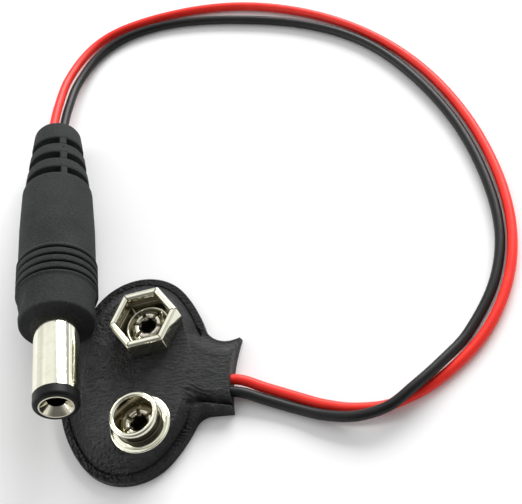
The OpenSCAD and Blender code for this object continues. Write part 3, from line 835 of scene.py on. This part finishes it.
def stud_cup(material, inside):
    """Round stud: stepped foot, hollow neck, a bead rolled outwards and a thin edge under it."""
    bead = (STUD_HEAD_R - STUD_BEAD_R, STUD_H - STUD_BEAD_R)
    inner_r = STUD_HEAD_R - 2 * STUD_BEAD_R
    neck_r = inner_r + CONTACT_T
    step_top = CONTACT_T + STUD_STEP_H
    foot_round = 0.14
    step_round = 0.1
    flare_r = 0.3
    edge_r = 0.1
    floor_r = 0.35
    section = [(HOLE_R, 0.0), (STUD_FOOT_R - 0.12, 0.0)]
    section += arc((STUD_FOOT_R - foot_round, foot_round), foot_round, -90, 90, 8)
    section += [(STUD_STEP_R + 0.06, CONTACT_T)]
    section += arc((STUD_STEP_R - step_round, step_top - step_round), step_round, 0, 90, 5)
    neck = len(section)
    section += arc((neck_r + flare_r, step_top + flare_r), flare_r, -90, -180, 6)
    section += [(neck_r, bead[1] - 0.58)]
    section += arc((neck_r + 0.08, bead[1] - 0.42), edge_r, -120, 70, 6)
    under_edge = len(section) - 4
    section += arc(bead, STUD_BEAD_R, -50, 180, 16)
    bead_end = len(section) - 1
    section += [(inner_r, CONTACT_T + floor_r)]
    section += arc((inner_r - floor_r, CONTACT_T + floor_r), floor_r, 0, -90, 6)
    section += [(HOLE_R, CONTACT_T)]
    shape = Shape()
    # The neck and the inner faces take the second material, whose painted shade darkens them
    shape.turned(section, STUD_TURNS, [*range(neck, under_edge), *range(bead_end, len(section) - 1)])
    shape.moved((0, -TERMINAL_Y, COVER_TOP))
    return shape.piece("stud_cup", material, "stud_contact", inside=inside)


def petal_section(floor, tube_top):
    """Section of a petal that bends out of the tube and down to the floor."""
    inner_r = EYELET_R - EYELET_WALL
    section = [(inner_r, tube_top), (inner_r, floor + 0.1)]
    for u in np.linspace(0.1, 1, 9):
        bow = math.sin(math.pi * (0.12 + 0.8 * u))
        section.append((inner_r + (PETAL_R - inner_r) * u, floor + 0.08 + (PETAL_T + PETAL_RISE) * bow))
    section += [(PETAL_R, floor + 0.02)]
    section += [(EYELET_R + (PETAL_R - EYELET_R) * 0.4, floor + 0.12)]
    section += [(EYELET_R, tube_top)]
    return section


def star_eyelet(name, node, side, material, turn):
    """Tubular rivet with a flat head below the plate and petals bent outwards above the floor."""
    floor = COVER_TOP + CONTACT_T
    tube_top = floor - 0.03
    inner_r = EYELET_R - EYELET_WALL
    head_low = PLATE_Z - EYELET_HEAD_T
    tube = [(inner_r, head_low), (EYELET_HEAD_R, head_low), (EYELET_HEAD_R, PLATE_Z)]
    tube += [(EYELET_R, PLATE_Z), (EYELET_R, tube_top), (inner_r, tube_top)]
    shape = Shape()
    shape.turned(tube, 48)
    for k in range(PETAL_COUNT):
        loops = []
        for across in np.linspace(-1, 1, 7):
            loop = []
            for r, z in petal_section(floor, tube_top):
                half = math.pi / PETAL_COUNT - PETAL_GAP / 2 / r
                t = 2 * math.pi * k / PETAL_COUNT + across * half
                loop.append((r * math.cos(t), r * math.sin(t), z))
            loops.append(loop)
        shape.loft(loops)
    shape.moved((0, side * TERMINAL_Y, 0), turn)
    return shape.piece(name, material, node)


# Plug: radius of the grip at places along its axis, in millimetres
RINGS_LOW = -GROOVE_FROM - (GROOVE_COUNT - 0.5) * GROOVE_PITCH
RINGS_TOP = -GROOVE_FROM + GROOVE_PITCH / 2
GRIP_STATIONS = [
    (-GRIP_LEN + TAIL_ROUND, TAIL_R), (-22.85, 4.30), (-22.5, 4.36), (-22.1, 4.53), (-21.7, 4.58),
    (-15.4, 4.80), (RINGS_LOW - 0.1, 4.82), (RINGS_LOW + 0.1, 5.02), (RINGS_TOP - 0.1, 5.02),
    (RINGS_TOP + 0.1, 4.84), (-FACE_ROUND, FACE_R)]
GROOVE_DEPTH = 0.40
GROOVE_HALF_W = 0.14
SLOT_EDGE = 0.05
WEB_EDGE = 0.06
SLOT_LIP_DEPTH = 0.08
THUMB_EDGE = 0.1
NO_FLAT = 99.0
MARK_DEPTH = 0.16
MARK_R = 0.22
GRIP_COLUMNS = 216
GRIP_STEP = 0.16
SLOT_STOPS = (-0.14, -0.05, -0.02, 0.02, 0.05, 0.14)
GROOVE_STOPS = (-0.26, -0.18, -0.09, 0, 0.09, 0.18, 0.26)
FLASH_LOW = 0.10
FLASH_HIGH = 0.16


def grip_radius(z):
    """Radius of the moulded grip along its axis, without slots and hollows."""
    places, sizes = zip(*GRIP_STATIONS)
    radius = np.interp(z, places, sizes)
    for k in range(GROOVE_COUNT):
        radius -= GROOVE_DEPTH * bell(z + GROOVE_FROM + k * GROOVE_PITCH, GROOVE_HALF_W)
    return radius


def grip_points(z, turn):
    """Radius of the grip at places along and round its axis."""
    radius = grip_radius(z)
    aside = np.abs(np.cos(turn))
    for k in range(SLOT_ROWS):
        off = np.abs(z + SLOT_FROM + k * SLOT_PITCH)
        cut = smooth(SLOT_W / 2 + SLOT_EDGE, SLOT_W / 2 - SLOT_EDGE, off)
        cut = cut * smooth(WEB_W / 2 - WEB_EDGE, WEB_W / 2 + WEB_EDGE, radius * aside)
        lip = SLOT_LIP_DEPTH * bell(off - SLOT_W / 2 - 0.06, 0.1) * (1 - cut)
        radius = radius - (radius - CORE_R) * cut - lip
    from_thumb = z + THUMB_FROM
    hollow = np.sqrt(np.clip(THUMB_R ** 2 - from_thumb ** 2, 0.01, None))
    flat = FACE_R - THUMB_DEPTH + THUMB_R - hollow
    flat = np.where(np.abs(from_thumb) < THUMB_R - THUMB_EDGE, flat, NO_FLAT)
    radius = np.minimum(radius, flat / np.maximum(aside, 0.05))
    from_mark = np.hypot(z + SLOT_FROM + 1.5 * SLOT_PITCH, radius * np.cos(turn))
    return radius - MARK_DEPTH * bell(from_mark, MARK_R) * (np.sin(turn) * WEB_SIDE > 0)


def grip_stops():
    """Places of the rings along the grip, closer together at slots and grooves."""
    stops = list(np.arange(-GRIP_LEN + TAIL_ROUND, -FACE_ROUND, GRIP_STEP))
    for k in range(SLOT_ROWS):
        for side in (-1, 1):
            edge = -SLOT_FROM - k * SLOT_PITCH + side * SLOT_W / 2
            stops += [edge + d for d in SLOT_STOPS]
    for k in range(GROOVE_COUNT):
        stops += [-GROOVE_FROM - k * GROOVE_PITCH + d for d in GROOVE_STOPS]
    return sorted(stops)


def plug_grip(material):
    """Moulded grip: rings of points from the tail to the front face and the flash on the barrel."""
    turns = np.linspace(0, 2 * math.pi, GRIP_COLUMNS, endpoint=False)
    whole = np.ones(GRIP_COLUMNS)
    rings = [(0.05, -GRIP_LEN), (1.5, -GRIP_LEN)]
    rings += arc((TAIL_R - TAIL_ROUND, TAIL_ROUND - GRIP_LEN), TAIL_ROUND, -90, -8, 9)
    for z in grip_stops():
        rings.append((grip_points(z * whole, turns), z))
    front = grip_points(-FACE_ROUND * whole, turns)
    for t in np.radians(np.linspace(15, 90, 6)):
        rings.append((front - FACE_ROUND * (1 - math.cos(t)), FACE_ROUND * (math.sin(t) - 1)))
    flash = FLASH_LOW + FLASH_HIGH * np.abs(wander(8 * np.cos(turns), 8 * np.sin(turns), 2.0, 9))
    rings.append((BARREL_SEAT_R + 0.35, 0.0))
    rings.append((BARREL_SEAT_R + 0.12, 0.3 * flash))
    rings.append((BARREL_SEAT_R + 0.02, 0.10 + 0.6 * flash))
    rings.append((BARREL_R + 0.02, 0.18 + flash))
    rings.append((BARREL_R + 0.01, 0.16))
    shape = Shape()
    for radius, height in rings:
        for r, t, z in zip(radius * whole, turns, height * whole):
            shape.points.append(tuple(PLUG @ Vector((r * math.cos(t), r * math.sin(t), z))))
    for i in range(len(rings) - 1):
        here = i * GRIP_COLUMNS
        ahead = here + GRIP_COLUMNS
        for k in range(GRIP_COLUMNS):
            m = (k + 1) % GRIP_COLUMNS
            shape.faces.append((here + k, here + m, ahead + m, ahead + k))
    return shape.piece("plug_grip", material, "plug_body", crease=60.0)


# Lead routes: the free part as X, Y and lift above the surface, in millimetres
RED_ROUTE = [
    (-16.9, 45, 2.4), (-16.5, 51.8, 1.1), (-13.8, 58.2, 0.15), (-9.2, 61.3, 0), (-0.4, 62.8, 0),
    (8.8, 62.1, 0), (17.9, 58.9, 0), (26.1, 53.7, 0), (33, 46.7, 0), (38.3, 38.3, 0), (42, 28.7, 0),
    (43.7, 18.9, 0), (42.9, 10.4, 0), (39.6, 3, 0), (34.1, -2.5, 0), (28.6, -5.2, 0), (24.3, -5.4, 0),
    (20.7, -4.6, 0), (17.2, -3.2, 0), (14, -1.9, 0.1)]
BLACK_ROUTE = [
    (-15.7, 45, 1.6), (-15.1, 50.9, 0.7), (-12.4, 56.7, 0.1), (-7.8, 59.8, 0), (-0.3, 60.7, 0),
    (9.9, 59, 0), (19.1, 55.9, 0), (26.6, 51.2, 0), (32.5, 44.6, 0), (37.7, 35.7, 0), (40.9, 26.6, 0),
    (42.3, 17.2, 0), (41.1, 9.6, 0), (37.5, 2.7, 0.2), (34.2, -1.1, 0.9), (31, -4.1, 1.4),
    (28.2, -6.1, 1.3), (24.6, -6.8, 0.9), (20.8, -6.1, 0.4), (17.4, -4.8, 0.1), (14.1, -3.5, 0.2)]
CURVE_STEPS = 8
CURVE_ROUND_STEPS = 6


def whole_route(side, free):
    """Points of a lead from its terminal to inside the plug, in millimetres."""
    inside = [Vector((-side * RELIEF_PITCH / 2, 0, z))
              for z in (CHAMBER_Z, RELIEF_Z, -GRIP_LEN, -GRIP_LEN - LEAD_D)]
    points = [PLUG @ p for p in inside]
    points += [Vector((x, y, lift + LEAD_D / 2)) for x, y, lift in free]
    mouth = MOUTH_Y + side * MOUTH_PITCH / 2
    points += [Vector((x, mouth, LEAD_Z)) for x in (TAB_MID + LEAD_D / 2, POCKET_X)]
    for reach in (SNAP_TAIL + LEAD_D, SNAP_TAIL):
        x = reach * math.cos(TAIL_TURN)
        y = side * (TERMINAL_Y - reach * math.sin(TAIL_TURN))
        points.append(Vector((x, y, LEAD_Z)))
    return points[::-1]


def lead_cord(name, side, free, material):
    """A lead as a round curve, with the place where it leaves the head and its length."""
    points = whole_route(side, free)
    data = bpy.data.curves.new(name, "CURVE")
    data.dimensions = "3D"
    data.resolution_u = CURVE_STEPS
    data.bevel_depth = LEAD_D / 2 * MM
    data.bevel_resolution = CURVE_ROUND_STEPS
    data.use_fill_caps = True
    spline = data.splines.new("BEZIER")
    spline.bezier_points.add(len(points) - 1)
    length = 0.0
    for i, p in enumerate(points):
        before = points[max(i - 1, 0)]
        after = points[min(i + 1, len(points) - 1)]
        along = (after - before).normalized()
        back = (p - before).length / 3
        ahead = (after - p).length / 3
        knot = spline.bezier_points[i]
        knot.co = p * MM
        knot.handle_left_type = knot.handle_right_type = "FREE"
        knot.handle_left = (p - along * back) * MM
        knot.handle_right = (p + along * ahead) * MM
        length += (after - p).length
    data.materials.append(material)
    cord = bpy.data.objects.new(name, data)
    bpy.context.scene.collection.objects.link(cord)
    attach(cord, "root")
    mouth = (TAB_MID * MM, (MOUTH_Y + side * MOUTH_PITCH / 2) * MM, LEAD_Z * MM)
    return cord, mouth, length * MM


def build_cords(red, black, grip):
    """Both leads, which run on into the plug at their far end."""
    for name, side, free, material, node in (
            ("red_cord", 1, RED_ROUTE, red, "red_lead"),
            ("black_cord", -1, BLACK_ROUTE, black, "black_lead")):
        cord, mouth, length = lead_cord(name, side, free, material)
        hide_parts(node)


# Stage
def add_camera():
    data = bpy.data.cameras.new("camera")
    data.sensor_fit = "HORIZONTAL"
    data.sensor_width = SENSOR_W
    data.lens = FOCAL_PIXELS / PICTURE_W * SENSOR_W
    data.clip_start = CLIP_NEAR
    data.clip_end = CLIP_FAR
    right = Vector(CAMERA_RIGHT).normalized()
    back = right.cross(Vector(CAMERA_UP)).normalized()
    up = back.cross(right)
    turn = Matrix((right, up, back)).transposed().to_4x4()
    camera = bpy.data.objects.new("camera", data)
    camera.matrix_world = Matrix.Translation(Vector(CAMERA_AT) * MM) @ turn
    bpy.context.scene.collection.objects.link(camera)
    bpy.context.scene.camera = camera


def light_path(field):
    """One where a ray comes from the camera, a reflection or a clear material, else nought."""
    total = 0.0
    for name in ("Is Camera Ray", "Is Glossy Ray", "Is Transmission Ray"):
        total = field.node("ShaderNodeLightPath", output=name) + total
    return total.clamped()


def floor_white():
    """White table with a faint glow to the eye, stronger far away, where it would look grey."""
    s = Surface("floor")
    cloud = s.noise(scale=0.01, detail=2.0)
    glow = light_path(s.root) * s.from_axis().step(130.0, 600.0, FLOOR_GLOW_NEAR, FLOOR_GLOW_FAR)
    return s.set(
        Base_Color=s.mixed(cloud, (0.90, 0.90, 0.90, 1), (0.91, 0.91, 0.91, 1)),
        Roughness=0.9,
        Specular_IOR_Level=0.0,
        Emission_Color=s.mixed(glow, (0, 0, 0, 1), (1, 1, 1, 1)),
        Emission_Strength=1.0)


def add_floor():
    corners = [(x * FLOOR_HALF, y * FLOOR_HALF, 0) for x, y in ((-1, -1), (1, -1), (1, 1), (-1, 1))]
    data = bpy.data.meshes.new("floor")
    data.from_pydata(corners, [], [(0, 1, 2, 3)])
    data.materials.append(floor_white())
    floor = bpy.data.objects.new("floor", data)
    bpy.context.scene.collection.objects.link(floor)
    floor.location.z = FLOOR_Z


def add_light(name, at, aim, size, power):
    data = bpy.data.lights.new(name, "AREA")
    data.shape = "RECTANGLE"
    data.size, data.size_y = size
    data.energy = power
    light = bpy.data.objects.new(name, data)
    light.location = Vector(at)
    light.rotation_euler = (Vector(aim) - Vector(at)).to_track_quat("-Z", "Y").to_euler()
    bpy.context.scene.collection.objects.link(light)


def add_sky():
    """Sky that is dim low down and towards the upper front, and brighter at the sides and overhead."""
    world = bpy.data.worlds.new("studio")
    bpy.context.scene.world = world
    world.use_nodes = True
    root = Field(world.node_tree)
    toward = root.node("ShaderNodeTexCoord", output="Generated")
    right = toward.part("X")
    level = toward.part("Z").step(0.3, 0.9, SKY_LOW_LEVEL, SKY_HIGH_LEVEL)
    level = level * toward.along(SKY_FRONT).step(0.50, 0.95, 1.0, SKY_FRONT_SHARE)
    level = level * right.step(0.5, 0.95, 1.0, SKY_RIGHT_SHARE)
    level = level * right.step(-0.4, -0.95, 1.0, SKY_LEFT_SHARE)
    level = level + toward.along(SKY_OVERHEAD).step(0.78, 0.95, 0.0, SKY_OVERHEAD_LEVEL)
    sky = world.node_tree.nodes["Background"]
    sky.inputs["Color"].default_value = (1, 1, 1, 1)
    world.node_tree.links.new(level.output, sky.inputs["Strength"])


def add_lights():
    """The sky, a wide soft panel at the back and a low strip at the left."""
    add_sky()
    add_light("panel", PANEL_AT, PANEL_AIM, PANEL_SIZE, PANEL_POWER)
    add_light("side_strip", STRIP_AT, STRIP_AIM, STRIP_SIZE, STRIP_POWER)


def add_terminals(bright):
    """Both cups and the star-shaped rivets in them."""
    dull = eyelet_nickel()
    # Colours of the painted shade deep inside the socket and the stud
    socket_painted_shade = (0.46, 0.43, 0.33, 1)
    stud_painted_shade = (0.40, 0.37, 0.26, 1)
    # The socket has no painted shade on a neck, so its radius for that lies beyond the cup
    socket_cup(bright, cup_nickel_painted_shade("socket_inside_painted_shade", TERMINAL_Y, 9.0, socket_painted_shade))
    stud_cup(bright, cup_nickel_painted_shade("stud_inside_painted_shade", -TERMINAL_Y, 2.4, stud_painted_shade))
    star_eyelet("socket_star", "socket_eyelet", 1, dull, 0.35)
    star_eyelet("stud_star", "stud_eyelet", -1, dull, 0.1)


def dress_nodes(skin, bright):
    """Gives materials to the CAD nodes that keep their own shape."""
    tip = nickel("tip_nickel", (0.72, 0.69, 0.56, 1), (0.54, 0.51, 0.40, 1), 0.05)
    plate = hidden_material("plate", colour(90, 62, 38), colour(120, 84, 54), 0.0, 0.6)
    copper = hidden_material("copper", colour(170, 104, 62), colour(200, 128, 84), 1.0, 0.3)
    solder = hidden_material("solder", colour(46, 43, 40), colour(70, 66, 62), 0.6, 0.45)
    looks = {"bottom_cover": skin, "backing_plate": plate, "barrel": bright}
    looks.update({"tip_insulator": nose_plastic(), "centre_contact": tip})
    for end in ("positive", "negative", "centre", "barrel"):
        looks[end + "_tail"] = copper
        looks[end + "_solder"] = solder
    for name, material in looks.items():
        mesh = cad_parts[name].data
        mesh.materials.clear()
        mesh.materials.append(material)


bpy.context.scene.view_settings.view_transform = "Standard"
add_camera()
red_pvc = insulation("red_insulation", (0.88, 0.021, 0.011, 1), (0.95, 0.029, 0.016, 1), 0.36, 0.34)
black_pvc = insulation(
    "black_insulation", (0.0045, 0.0045, 0.0048, 1), (0.0075, 0.0075, 0.0080, 1), 0.36, 0.3)
leather = leatherette()
plating = nickel("nickel", (0.86, 0.855, 0.715, 1), (0.81, 0.805, 0.66, 1), 0.07)
build_cords(red_pvc, black_pvc, plug_grip(grip_plastic()))
head_skin(leather)
add_terminals(plating)
dress_nodes(leather, plating)
add_floor()
add_lights()
